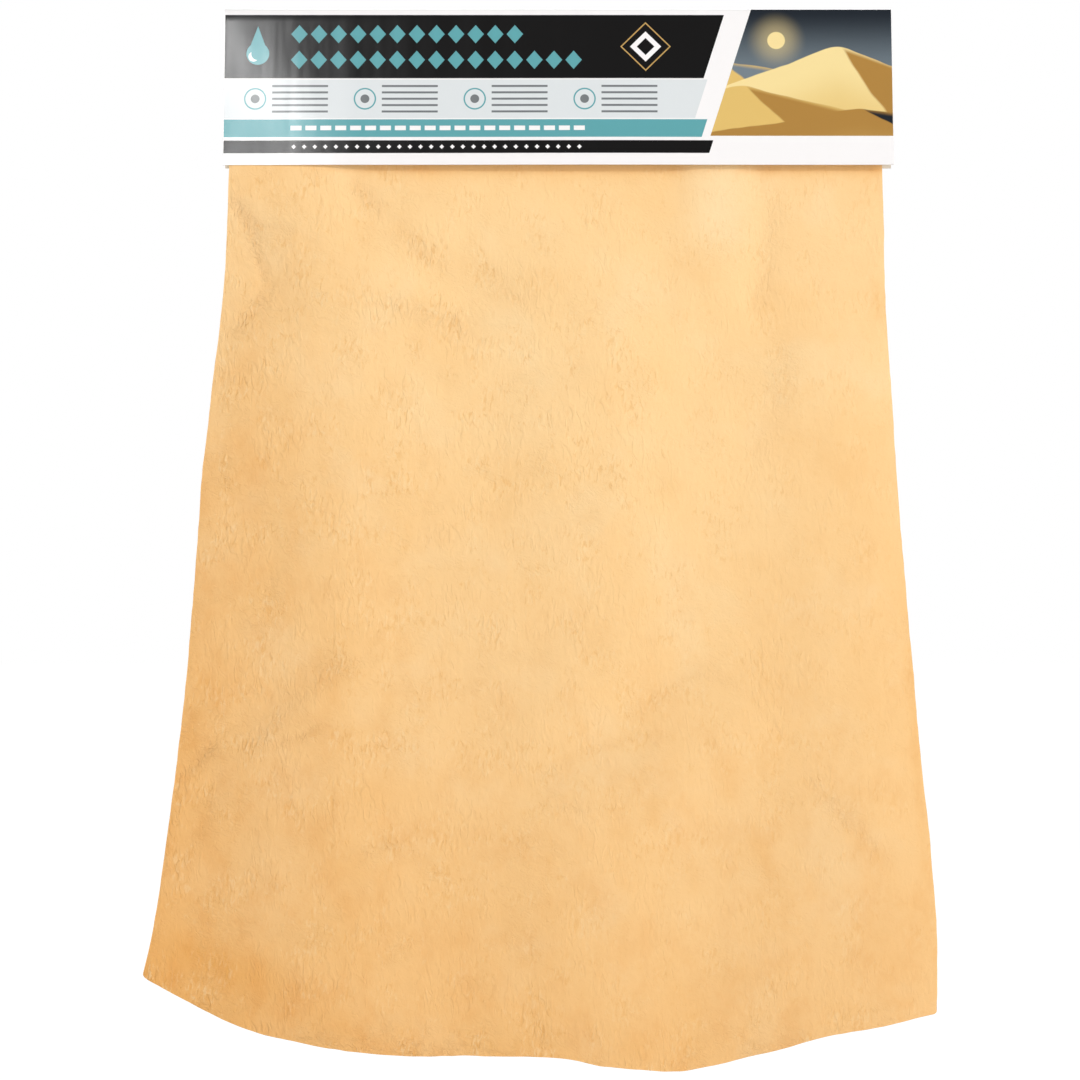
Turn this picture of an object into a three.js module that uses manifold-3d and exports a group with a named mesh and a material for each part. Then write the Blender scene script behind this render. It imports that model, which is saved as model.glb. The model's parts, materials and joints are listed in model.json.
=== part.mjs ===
// A natural chamois leather hanging from a folded header card.
// Millimetres, +Z up. The card's printed front faces -Y, and the origin is the middle of its back face.
import * as THREE from 'three';
import { mergeVertices } from 'three/addons/utils/BufferGeometryUtils.js';
import Module from 'manifold-3d';

// Header card: one board folded along its top edge
const CARD_WIDTH = 317;
const CARD_HEIGHT = 75.5;
const BOARD_THICKNESS = 0.6;
const FOLD_INNER_RADIUS = 0.6;
const FLAP_SPREAD_DEG = 7;
const FOLD_ARC_STEPS = 10;

// Chamois skin: one hide, held inside the card and free below it
const SKIN_THICKNESS = 1;
const SKIN_DROP = 427;
const SKIN_INSET_LEFT = 3;
const SKIN_INSET_RIGHT = 5;
const SKIN_FLARE_LEFT = 42.1;
const SKIN_FLARE_RIGHT = 26.2;
const SKIN_TOP_BELOW_FOLD = 9;
const SKIN_CENTRE_OFF_BOARD = 5.8;
const BEND_BELOW_CARD = 2;
const MARGIN_FLAT_BELOW_STAPLES = 6;
const SKIN_COLUMNS = 22;
const SKIN_ROWS = 25;

// Side edges of the free skin as [share of that side's flare past the held width, share of the skin's drop]
const LEFT_EDGE_SHARES = [
  [0, 0], [0.09, 0.143], [0.223, 0.25], [0.344, 0.366], [0.524, 0.588], [0.822, 0.811], [1, 0.896],
];
const RIGHT_EDGE_SHARES = [
  [0, 0], [0.065, 0.143], [0.172, 0.25], [0.298, 0.366], [0.611, 0.588], [0.966, 0.811], [1, 0.936],
];

// Hem between the two lower corners as [share of the way across, share of the skin's drop]
const HEM_SHARES = [
  [0.111, 0.946], [0.199, 0.967], [0.3, 0.98], [0.413, 0.983], [0.52, 0.984], [0.583, 0.993],
  [0.662, 1], [0.702, 0.997], [0.784, 0.979], [0.865, 0.96], [0.928, 0.95],
];

// Relief of the free skin towards the viewer: soft folds that run out at both ends of their lines. The ends
// are [share of the card's width from its middle, share of the skin's drop]
const FOLD_WIDTH = 17;
const FOLD_HEIGHT = 2.2;
const FOLDS = [
  { from: [0.25, 0.012], to: [0.24, 0.223], broad: 1.4, high: 1.45 },
  { from: [0.325, 0.023], to: [0.319, 0.234], broad: 0.9, high: -1.1 },
  { from: [-0.473, 0.033], to: [-0.404, 0.164], broad: 0.9, high: -1 },
  { from: [-0.315, 0.019], to: [-0.076, 0.155], broad: 1.1, high: -0.9 },
  { from: [-0.543, 0.647], to: [-0.246, 0.53], broad: 1, high: 1 },
  { from: [-0.473, 0.684], to: [-0.189, 0.614], broad: 0.9, high: -0.8 },
  { from: [-0.05, 0.689], to: [0.221, 0.544], broad: 1, high: -1 },
  { from: [0.095, 0.703], to: [0.328, 0.614], broad: 1.1, high: 0.9 },
];
const DRAPE_HEIGHT = 1.2;
const DRAPE_PITCH = 124;
const DRAPE_SHIFT = 18;
const EDGE_CURL = 2.2;
const RELIEF_RISE = 70;

// Wire staples through the skin and the back panel
const STAPLE_COUNT = 4;
const STAPLE_EDGE_DISTANCE = 32;
const STAPLES_BELOW_FOLD = 24;
const STAPLE_CROWN = 12;
const STAPLE_WIRE = 0.5;
const STAPLE_LEG_TURN = 4.5;
const STAPLE_SUNK = 0.05;

// Room between pieces that lie against each other
const SEAT_CLEARANCE = 0.3;

const foldOuterRadius = FOLD_INNER_RADIUS + BOARD_THICKNESS;
const cardTop = CARD_HEIGHT / 2;
const cardBottom = -CARD_HEIGHT / 2;
const foldAxisY = -foldOuterRadius;
const foldAxisZ = cardTop - foldOuterRadius;
const flapSpread = THREE.MathUtils.degToRad(FLAP_SPREAD_DEG);
const boardFront = -BOARD_THICKNESS;

const bendY = boardFront - SKIN_CENTRE_OFF_BOARD;
const bendZ = cardBottom - BEND_BELOW_CARD;
const marginY = boardFront - SEAT_CLEARANCE - SKIN_THICKNESS / 2;
const marginTop = cardTop - SKIN_TOP_BELOW_FOLD;
const marginBottom = bendZ + SKIN_THICKNESS / 2 + SEAT_CLEARANCE;
const marginLeft = -CARD_WIDTH / 2 + SKIN_INSET_LEFT;
const marginRight = CARD_WIDTH / 2 - SKIN_INSET_RIGHT;

const stapleZ = cardTop - STAPLES_BELOW_FOLD;
const stapleBack = -STAPLE_SUNK;
const stapleFront = marginY - SKIN_THICKNESS / 2 - SEAT_CLEARANCE - STAPLE_WIRE;
const legRoom = STAPLE_WIRE / 2 + SEAT_CLEARANCE;
const staplePitch = (marginRight - marginLeft - 2 * STAPLE_EDGE_DISTANCE) / (STAPLE_COUNT - 1);
const staplePlaces = Array.from(
  { length: STAPLE_COUNT },
  (_, i) => marginLeft + STAPLE_EDGE_DISTANCE + i * staplePitch,
);

const printedBoard = new THREE.MeshStandardMaterial({ color: 0x1c1b1a, roughness: 0.3, metalness: 0 });
const plainBoard = new THREE.MeshStandardMaterial({ color: 0xf5f2f0, roughness: 0.6, metalness: 0 });
const chamois = new THREE.MeshStandardMaterial({ color: 0xf8cd95, roughness: 0.95, metalness: 0 });
const stapleWire = new THREE.MeshStandardMaterial({ color: 0xb9bcc0, roughness: 0.35, metalness: 1 });

const wasm = await Module();
wasm.setup();

// Turns a closed geometry into a manifold solid
function toSolid(geometry) {
  const bare = new THREE.BufferGeometry();
  bare.setAttribute('position', geometry.getAttribute('position'));
  bare.setIndex(geometry.getIndex());
  const merged = mergeVertices(bare);
  const vertProperties = new Float32Array(merged.getAttribute('position').array);
  const triVerts = new Uint32Array(merged.getIndex().array);
  return new wasm.Manifold(new wasm.Mesh({ numProp: 3, vertProperties, triVerts }));
}

// Turns a manifold solid back into a geometry
function toGeometry(solid) {
  const mesh = solid.getMesh();
  const geometry = new THREE.BufferGeometry();
  geometry.setAttribute('position', new THREE.BufferAttribute(mesh.vertProperties, 3));
  geometry.setIndex(new THREE.BufferAttribute(mesh.triVerts, 1));
  geometry.computeVertexNormals();
  return geometry;
}

function namedMesh(name, geometry, material) {
  const mesh = new THREE.Mesh(geometry, material);
  mesh.name = name;
  return mesh;
}

// Extrudes a section drawn in the YZ plane along X
function extrudeAlongX(section, fromX, toX) {
  const geometry = new THREE.ExtrudeGeometry(section, {
    depth: toX - fromX,
    bevelEnabled: false,
    curveSegments: FOLD_ARC_STEPS,
  });
  const yAxis = new THREE.Vector3(0, 1, 0);
  const zAxis = new THREE.Vector3(0, 0, 1);
  const xAxis = new THREE.Vector3(1, 0, 0);
  geometry.applyMatrix4(new THREE.Matrix4().makeBasis(yAxis, zAxis, xAxis));
  geometry.translate(fromX, 0, 0);
  return geometry;
}

// Cuts a row of box-shaped holes through a sheet that lies square to Y
function cutHoles(sheet, places, width, height, depth) {
  let solid = toSolid(sheet);
  for (const place of places) {
    const cutter = new THREE.BoxGeometry(width, depth, height);
    cutter.translate(...place);
    solid = solid.subtract(toSolid(cutter));
  }
  return toGeometry(solid);
}

// The two legs of every staple, as places at a distance from the middle of its crown
function legPlaces(fromMiddle, y) {
  return staplePlaces.flatMap((x) => [-1, 1].map((side) => [x + side * fromMiddle, y, stapleZ]));
}

// The back panel, with the seats that the turned staple legs press into the board
function headerBackPanel() {
  const top = foldAxisZ - SEAT_CLEARANCE;
  const panel = new THREE.BoxGeometry(CARD_WIDTH, BOARD_THICKNESS, top - cardBottom);
  panel.translate(0, boardFront / 2, (top + cardBottom) / 2);
  const seats = legPlaces((STAPLE_CROWN - STAPLE_LEG_TURN) / 2, boardFront / 2);
  const seatWidth = STAPLE_LEG_TURN + 2 * SEAT_CLEARANCE;
  const geometry = cutHoles(panel, seats, seatWidth, 2 * legRoom, 3 * BOARD_THICKNESS);
  return namedMesh('header_back_panel', geometry, plainBoard);
}

// The crease: the board rolls over from the back panel to the front panel's slope
function headerFold() {
  const end = Math.PI - flapSpread;
  const section = new THREE.Shape();
  section.absarc(foldAxisY, foldAxisZ, foldOuterRadius, 0, end, false);
  section.absarc(foldAxisY, foldAxisZ, FOLD_INNER_RADIUS, end, 0, true);
  section.closePath();
  return namedMesh('header_fold', extrudeAlongX(section, -CARD_WIDTH / 2, CARD_WIDTH / 2), plainBoard);
}

// The front flap, drawn hanging straight down from the fold's axis and then spread from the back panel
function headerFrontPanel() {
  const length = (foldAxisZ - cardBottom) / Math.cos(flapSpread);
  const panel = new THREE.BoxGeometry(CARD_WIDTH, BOARD_THICKNESS, length - SEAT_CLEARANCE);
  panel.translate(0, -FOLD_INNER_RADIUS - BOARD_THICKNESS / 2, -(length + SEAT_CLEARANCE) / 2);
  const hung = new THREE.Group();
  hung.position.set(0, foldAxisY, foldAxisZ);
  hung.rotation.x = -flapSpread;
  hung.add(namedMesh('header_front_panel', panel, printedBoard));
  return hung;
}

// The held stretch of skin: flat on the back panel at the staples, then easing out to the card's mouth
function chamoisTopMargin() {
  const flatEnd = stapleZ - MARGIN_FLAT_BELOW_STAPLES;
  const middle = (flatEnd + marginBottom) / 2;
  const easing = new THREE.CubicBezierCurve(
    new THREE.Vector2(marginY, flatEnd),
    new THREE.Vector2(marginY, middle),
    new THREE.Vector2(bendY, middle),
    new THREE.Vector2(bendY, marginBottom),
  );
  const centreLine = [new THREE.Vector2(marginY, marginTop), ...easing.getPoints(FOLD_ARC_STEPS)];
  const half = new THREE.Vector2(SKIN_THICKNESS / 2, 0);
  const back = centreLine.map((point) => point.clone().add(half));
  const front = centreLine.map((point) => point.clone().sub(half)).reverse();
  const strip = extrudeAlongX(new THREE.Shape([...back, ...front]), marginLeft, marginRight);
  const holes = legPlaces((STAPLE_CROWN - STAPLE_WIRE) / 2, marginY);
  const geometry = cutHoles(strip, holes, 2 * legRoom, 2 * legRoom, 3 * SKIN_THICKNESS);
  return namedMesh('chamois_top_margin', geometry, chamois);
}

// Points of a side edge, which flares out from the held skin's end on that side
function sideEdge(heldEnd, flare, shares) {
  return shares.map(([out, down]) => new THREE.Vector2(heldEnd + out * flare, down * SKIN_DROP));
}

// The free skin's two side edges and its hem, as curves of x and drop below the bend line
function skinEdges() {
  const left = sideEdge(marginLeft, -SKIN_FLARE_LEFT, LEFT_EDGE_SHARES);
  const right = sideEdge(marginRight, SKIN_FLARE_RIGHT, RIGHT_EDGE_SHARES);
  const leftCorner = left.at(-1);
  const rightCorner = right.at(-1);
  const between = HEM_SHARES.map(([across, down]) => {
    const x = THREE.MathUtils.lerp(leftCorner.x, rightCorner.x, across);
    return new THREE.Vector2(x, down * SKIN_DROP);
  });
  return {
    left: new THREE.SplineCurve(left),
    right: new THREE.SplineCurve(right),
    hem: new THREE.SplineCurve([leftCorner, ...between, rightCorner]),
  };
}

// A place on the free skin: a patch between the two side edges, drawn down to the hem
function skinPlace(edges, u, v) {
  const place = new THREE.Vector2().lerpVectors(edges.left.getPoint(v), edges.right.getPoint(v), u);
  const straightHem = new THREE.Vector2().lerpVectors(edges.hem.getPoint(0), edges.hem.getPoint(1), u);
  const hemDrop = edges.hem.getPoint(u).sub(straightHem);
  return place.addScaledVector(hemDrop, v);
}

// The end of a fold's line on the skin
function foldEnd([across, down]) {
  return new THREE.Vector2(across * CARD_WIDTH, down * SKIN_DROP);
}

// How far one soft fold lifts the skin at a place
function foldHeight(fold, place) {
  const from = foldEnd(fold.from);
  const run = foldEnd(fold.to).sub(from);
  const along = place.clone().sub(from).dot(run) / run.lengthSq();
  const across = Math.abs(place.clone().sub(from).cross(run)) / run.length();
  const runOut = Math.exp(-((2 * along - 1) ** 4));
  const section = Math.exp(-((across / (fold.broad * FOLD_WIDTH)) ** 2));
  return fold.high * FOLD_HEIGHT * runOut * section;
}

// The skin's lift towards the viewer, which grows from nothing at the bend line
function skinLift(place, u) {
  const rise = THREE.MathUtils.smoothstep(place.y, 0, RELIEF_RISE);
  const drape = DRAPE_HEIGHT * Math.cos((2 * Math.PI * (place.x - DRAPE_SHIFT)) / DRAPE_PITCH);
  const curl = EDGE_CURL * (2 * u - 1) ** 6;
  const folds = FOLDS.reduce((sum, fold) => sum + foldHeight(fold, place), 0);
  return rise * (drape + folds - curl);
}

// The free skin: a front and a back face on one grid, closed by a rim and rounded on the bend line
function chamoisSkin() {
  const edges = skinEdges();
  const width = SKIN_COLUMNS + 1;
  const perFace = width * (SKIN_ROWS + 1);
  const positions = [[], []];
  const apex = [];
  for (let row = 0; row <= SKIN_ROWS; row += 1) {
    for (let column = 0; column <= SKIN_COLUMNS; column += 1) {
      const u = column / SKIN_COLUMNS;
      const place = skinPlace(edges, u, row / SKIN_ROWS);
      const y = bendY - skinLift(place, u);
      positions[0].push(place.x, y - SKIN_THICKNESS / 2, bendZ - place.y);
      positions[1].push(place.x, y + SKIN_THICKNESS / 2, bendZ - place.y);
      if (row === 0) {
        apex.push(place.x, bendY, bendZ + SKIN_THICKNESS / 2);
      }
    }
  }
  const front = (row, column) => row * width + column;
  const back = (row, column) => perFace + row * width + column;
  const top = (column) => 2 * perFace + column;
  const index = [];
  const quad = (a, b, c, d) => index.push(a, b, c, a, c, d);
  for (let row = 0; row < SKIN_ROWS; row += 1) {
    for (let column = 0; column < SKIN_COLUMNS; column += 1) {
      quad(front(row, column), front(row + 1, column), front(row + 1, column + 1), front(row, column + 1));
      quad(back(row, column), back(row, column + 1), back(row + 1, column + 1), back(row + 1, column));
    }
    quad(front(row, 0), back(row, 0), back(row + 1, 0), front(row + 1, 0));
    const last = SKIN_COLUMNS;
    quad(front(row, last), front(row + 1, last), back(row + 1, last), back(row, last));
  }
  for (let column = 0; column < SKIN_COLUMNS; column += 1) {
    const last = SKIN_ROWS;
    quad(front(last, column), back(last, column), back(last, column + 1), front(last, column + 1));
    quad(front(0, column), front(0, column + 1), top(column + 1), top(column));
    quad(top(column), top(column + 1), back(0, column + 1), back(0, column));
  }
  index.push(front(0, 0), top(0), back(0, 0));
  index.push(front(0, SKIN_COLUMNS), back(0, SKIN_COLUMNS), top(SKIN_COLUMNS));
  const geometry = new THREE.BufferGeometry();
  const all = [...positions[0], ...positions[1], ...apex];
  geometry.setAttribute('position', new THREE.Float32BufferAttribute(all, 3));
  geometry.setIndex(index);
  geometry.computeVertexNormals();
  return namedMesh('chamois_skin', geometry, chamois);
}

// A clinched staple: the crown lies on the skin and the legs turn inwards, flush in the back panel
function staple(number, x) {
  const half = STAPLE_CROWN / 2;
  const inside = half - STAPLE_WIRE;
  const tip = half - STAPLE_LEG_TURN;
  const crownBack = stapleFront + STAPLE_WIRE;
  const legFront = stapleBack - STAPLE_WIRE;
  const outline = new THREE.Shape([
    new THREE.Vector2(-half, stapleFront),
    new THREE.Vector2(half, stapleFront),
    new THREE.Vector2(half, stapleBack),
    new THREE.Vector2(tip, stapleBack),
    new THREE.Vector2(tip, legFront),
    new THREE.Vector2(inside, legFront),
    new THREE.Vector2(inside, crownBack),
    new THREE.Vector2(-inside, crownBack),
    new THREE.Vector2(-inside, legFront),
    new THREE.Vector2(-tip, legFront),
    new THREE.Vector2(-tip, stapleBack),
    new THREE.Vector2(-half, stapleBack),
  ]);
  const geometry = new THREE.ExtrudeGeometry(outline, { depth: STAPLE_WIRE, bevelEnabled: false });
  geometry.translate(x, 0, stapleZ - STAPLE_WIRE / 2);
  return namedMesh(`staple_${number}`, geometry, stapleWire);
}

const part = new THREE.Group();
part.add(headerBackPanel(), headerFold(), headerFrontPanel());
part.add(chamoisTopMargin(), chamoisSkin());
staplePlaces.forEach((x, i) => part.add(staple(i + 1, x)));

export default part;
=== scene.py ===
"""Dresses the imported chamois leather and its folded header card, and sets them in a plain studio.

Metres, +Z up. The card's printed front faces -Y, and the origin is the middle of its back face.
"""
import json
import logging
import math
from contextlib import contextmanager
from dataclasses import dataclass
from enum import Enum
from typing import Callable, Iterator, Optional, Sequence, Union

import bmesh
import bpy
import numpy as np
from mathutils import Matrix, Vector
from numpy.typing import NDArray


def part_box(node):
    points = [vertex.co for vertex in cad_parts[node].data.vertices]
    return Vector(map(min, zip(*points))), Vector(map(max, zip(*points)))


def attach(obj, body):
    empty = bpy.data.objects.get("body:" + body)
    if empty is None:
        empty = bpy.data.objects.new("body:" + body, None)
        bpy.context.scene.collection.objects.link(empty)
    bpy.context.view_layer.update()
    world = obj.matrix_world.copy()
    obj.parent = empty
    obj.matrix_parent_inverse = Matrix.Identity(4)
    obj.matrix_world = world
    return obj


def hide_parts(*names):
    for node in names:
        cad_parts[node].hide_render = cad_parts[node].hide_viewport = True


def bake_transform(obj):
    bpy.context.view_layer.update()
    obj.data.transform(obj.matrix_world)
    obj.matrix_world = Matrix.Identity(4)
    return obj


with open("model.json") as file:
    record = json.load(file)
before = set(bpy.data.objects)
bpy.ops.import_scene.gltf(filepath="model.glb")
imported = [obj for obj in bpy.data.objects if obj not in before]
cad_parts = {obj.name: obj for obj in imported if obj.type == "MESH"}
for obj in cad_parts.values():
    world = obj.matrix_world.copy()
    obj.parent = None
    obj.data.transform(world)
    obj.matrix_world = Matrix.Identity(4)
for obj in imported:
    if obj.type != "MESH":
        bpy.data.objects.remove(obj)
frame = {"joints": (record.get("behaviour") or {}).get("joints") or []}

log = logging.getLogger("chamois")

MM = 0.001
MERGE_DISTANCE = 1e-6
# How soft the edges of printed shapes are, in millimetres.
PRINT_BORDER = 0.12
# The pieces' maps, and the attributes that the hide's finish reads.
HIDE_MAP = "hide_place"
HIDE_DARK_AND_SHADE = "hide_wear"
HIDE_CREASE = "hide_crease"
HIDE_PALE_AND_HIGHLIGHT = "hide_bloom"
HIDE_GRAIN = "hide_grain"
CARD_MAP = "card_place"

Array = NDArray[np.float64]
Colour = tuple[float, float, float]
Point = tuple[float, float]


def srgb(red: int, green: int, blue: int) -> Colour:
    """A colour written in screen values from 0 to 255, as the linear values that shaders take."""
    return tuple(((channel / 255 + 0.055) / 1.055) ** 2.4 for channel in (red, green, blue))


class Slot(Enum):
    """The record's material slots."""

    PRINT = "card_print"
    CHAMOIS = "chamois"
    WIRE = "staple_wire"


class Body(Enum):
    """The bodies that the joints move."""

    HEADER = "header"
    FLAP = "front_flap"
    SKIN = "free_skin"


class Field:
    """A number or colour that varies over a surface: one output socket of a node tree."""

    def __init__(self, tree: "NodeTree", socket: bpy.types.NodeSocket) -> None:
        """Keeps the tree and the socket that the values come from."""
        self.tree = tree
        self.socket = socket

    def __add__(self, other: "Amount") -> "Field":
        """The sum with a number or a field."""
        return self.tree.math("ADD", self, other)

    def __sub__(self, other: "Amount") -> "Field":
        """The difference from a number or a field."""
        return self.tree.math("SUBTRACT", self, other)

    def __mul__(self, other: "Amount") -> "Field":
        """The product with a number or a field."""
        return self.tree.math("MULTIPLY", self, other)

    def __abs__(self) -> "Field":
        """The size without its sign."""
        return self.tree.math("ABSOLUTE", self)

    def __and__(self, other: "Amount") -> "Field":
        """Where both of two shapes are."""
        return self.tree.math("MINIMUM", self, other)

    def __or__(self, other: "Amount") -> "Field":
        """Where either of two shapes is."""
        return self.tree.math("MAXIMUM", self, other)

    def above(self, edge: float, soft: float = PRINT_BORDER) -> "Field":
        """A shape that is 1 where the field lies above an edge, with a soft border."""
        return self.tree.math("MULTIPLY_ADD", self, 1 / soft, 0.5 - edge / soft, clamp=True)

    def below(self, edge: float, soft: float = PRINT_BORDER) -> "Field":
        """A shape that is 1 where the field lies below an edge, with a soft border."""
        return self.tree.math("MULTIPLY_ADD", self, -1 / soft, 0.5 + edge / soft, clamp=True)

    def within(self, low: float, high: float) -> "Field":
        """A shape that is 1 between two edges."""
        return self.above(low) & self.below(high)

    def eased(self, low: float, high: float) -> "Field":
        """Eases from 0 at one value to 1 at another, which may be the smaller."""
        feeds = {"Value": self, "From Min": low, "From Max": high}
        return self.tree.field("ShaderNodeMapRange", "Result", feeds, interpolation_type="SMOOTHSTEP")

    def every(self, pitch: float, start: float) -> "Field":
        """The distance from the middle of the cell, where the field repeats at a pitch."""
        return self.tree.math("WRAP", self - (start + pitch / 2), pitch / 2, -pitch / 2)


def distance(across: Field, up: Field) -> Field:
    """How far a point is from another, from the two distances between them."""
    return across.tree.math("SQRT", across * across + up * up)


Amount = Union[Field, float]
Tone = Union[Field, Colour]
Coats = list[tuple[Field, Tone]]
Feeds = dict[Union[str, int], Union[Amount, Tone]]


class NodeTree:
    """The nodes of a material or of the world, with short calls to add and link them."""

    def __init__(self, owner: Union[bpy.types.Material, bpy.types.World]) -> None:
        """Takes up the owner's nodes."""
        owner.use_nodes = True
        self.nodes, self.links = owner.node_tree.nodes, owner.node_tree.links

    def put(self, value: Union[Amount, Tone], socket: bpy.types.NodeSocket) -> None:
        """Feeds a socket from a field, or sets it to a number, a colour or a vector.

        Args:
            value: What the socket is to hold.
            socket: An input of a node in this tree.
        """
        if isinstance(value, Field):
            self.links.new(value.socket, socket)
        elif isinstance(value, tuple) and len(socket.default_value) == 4:
            socket.default_value = (*value, 1.0)
        else:
            socket.default_value = value

    def add(self, kind: str, feeds: Optional[Feeds] = None, **settings: object) -> bpy.types.Node:
        """Adds a node.

        Args:
            kind: The node's type.
            feeds: What its inputs hold, by their names or numbers.
            settings: Its options.

        Returns:
            The node.
        """
        node = self.nodes.new(kind)
        for name, value in settings.items():
            setattr(node, name, value)
        for key, value in (feeds or {}).items():
            self.put(value, node.inputs[key])
        return node

    def field(self, kind: str, output: Union[str, int], feeds: Feeds, **settings: object) -> Field:
        """Adds a node in the same way, and gives one of its outputs."""
        return Field(self, self.add(kind, feeds, **settings).outputs[output])

    def math(self, operation: str, *amounts: Amount, clamp: bool = False) -> Field:
        """A Math node's result from its inputs in order, kept from 0 to 1 if it is clamped."""
        feeds = dict(enumerate(amounts))
        return self.field("ShaderNodeMath", 0, feeds, operation=operation, use_clamp=clamp)

    def end_in(self, output: str, lit: bpy.types.Node, seen: bpy.types.Node, share: float = 1.0) -> None:
        """Ends the tree in one shader that lights surfaces and another that is seen.

        Args:
            output: The name of the tree's output node.
            lit: The shader for light that falls on surfaces.
            seen: The shader for rays from the camera, mirrored rays and rays through glass.
            share: How much of the second shader such rays take.
        """
        path = self.add("ShaderNodeLightPath").outputs
        camera, mirrored = Field(self, path["Is Camera Ray"]), Field(self, path["Is Glossy Ray"])
        through = Field(self, path["Is Transmission Ray"])
        choice = self.add("ShaderNodeMixShader", {"Fac": (camera | mirrored | through) * share})
        self.links.new(lit.outputs[0], choice.inputs[1])
        self.links.new(seen.outputs[0], choice.inputs[2])
        self.links.new(choice.outputs[0], self.nodes[output].inputs["Surface"])


class FinishTree(NodeTree):
    """A material's node tree, with short calls for what the finishes need."""

    def __init__(self, name: str) -> None:
        """Makes the material, which starts with a Principled shader.

        Args:
            name: The material's name.
        """
        self.material = bpy.data.materials.new(name)
        super().__init__(self.material)
        self.shader = self.nodes["Principled BSDF"]

    def rest_place(self, uv_map: str, scale: Point = (1, 1), lean: float = 0.0) -> Field:
        """The place on a piece's own map, stretched and leaned for a pattern.

        Args:
            uv_map: The name of the piece's map.
            scale: How much the two directions are multiplied; less makes the pattern longer that way.
            lean: How far the pattern leans, in degrees; it leans to the right where this is negative.

        Returns:
            The place as a vector.
        """
        source = self.field("ShaderNodeUVMap", "UV", {}, uv_map=uv_map)
        stretch, turn = (1 / scale[0], 1 / scale[1], 1), (0, 0, math.radians(lean))
        feeds = {"Vector": source, "Scale": stretch, "Rotation": turn}
        return self.field("ShaderNodeMapping", "Vector", feeds, vector_type="TEXTURE")

    def noise(self, place: Field, per_metre: float, detail: float = 2.0, roughness: float = 0.5,
              distortion: float = 0.0, dimensions: str = "2D") -> Field:
        """Cloudy noise from 0 to 1.

        Args:
            place: Where on the piece, in metres.
            per_metre: How many clouds lie along a metre.
            detail: How many finer octaves are added.
            roughness: How strong the finer octaves are.
            distortion: How far the clouds are pulled about.
            dimensions: Whether the clouds lie on a map, 2D, or in space, 3D.

        Returns:
            The noise.
        """
        feeds = {"Vector": place, "Scale": per_metre, "Detail": detail, "Roughness": roughness,
                 "Distortion": distortion}
        return self.field("ShaderNodeTexNoise", "Fac", feeds, noise_dimensions=dimensions)

    def attribute(self, name: str) -> Field:
        """A number that the piece's mesh keeps at each vertex."""
        return self.field("ShaderNodeAttribute", "Fac", {}, attribute_name=name)

    def mix(self, share: Field, first: Tone, second: Tone) -> Field:
        """Goes from one colour to another.

        Args:
            share: How far it has gone, from 0 to 1.
            first: The colour at 0.
            second: The colour at 1.

        Returns:
            The colour between them.
        """
        node = self.add("ShaderNodeMix", data_type="RGBA")
        sockets = {socket.identifier: socket for socket in (*node.inputs, *node.outputs)}
        for name, value in (("Factor_Float", share), ("A_Color", first), ("B_Color", second)):
            self.put(value, sockets[name])
        return Field(self, sockets["Result_Color"])

    def layers(self, base: Tone, coats: Coats) -> Tone:
        """Lays coats of colour over a base.

        Args:
            base: The colour below.
            coats: Where each coat lies, and its colour, from the lowest up.

        Returns:
            The colour that shows.
        """
        for shape, colour in coats:
            base = self.mix(shape, base, colour)
        return base

    def bump(self, height: Field, depth: float) -> None:
        """Gives the shader a relief whose height of 1 is a depth in metres."""
        relief = self.field("ShaderNodeBump", "Normal", {"Height": height, "Distance": depth})
        self.put(relief, self.shader.inputs["Normal"])

    def shade(self, **values: Union[Amount, Tone]) -> bpy.types.Material:
        """Sets the shader.

        Args:
            values: What its sockets hold, with underscores in their names.

        Returns:
            The finished material.
        """
        for name, value in values.items():
            self.put(value, self.shader.inputs[name.replace("_", " ")])
        return self.material


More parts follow.
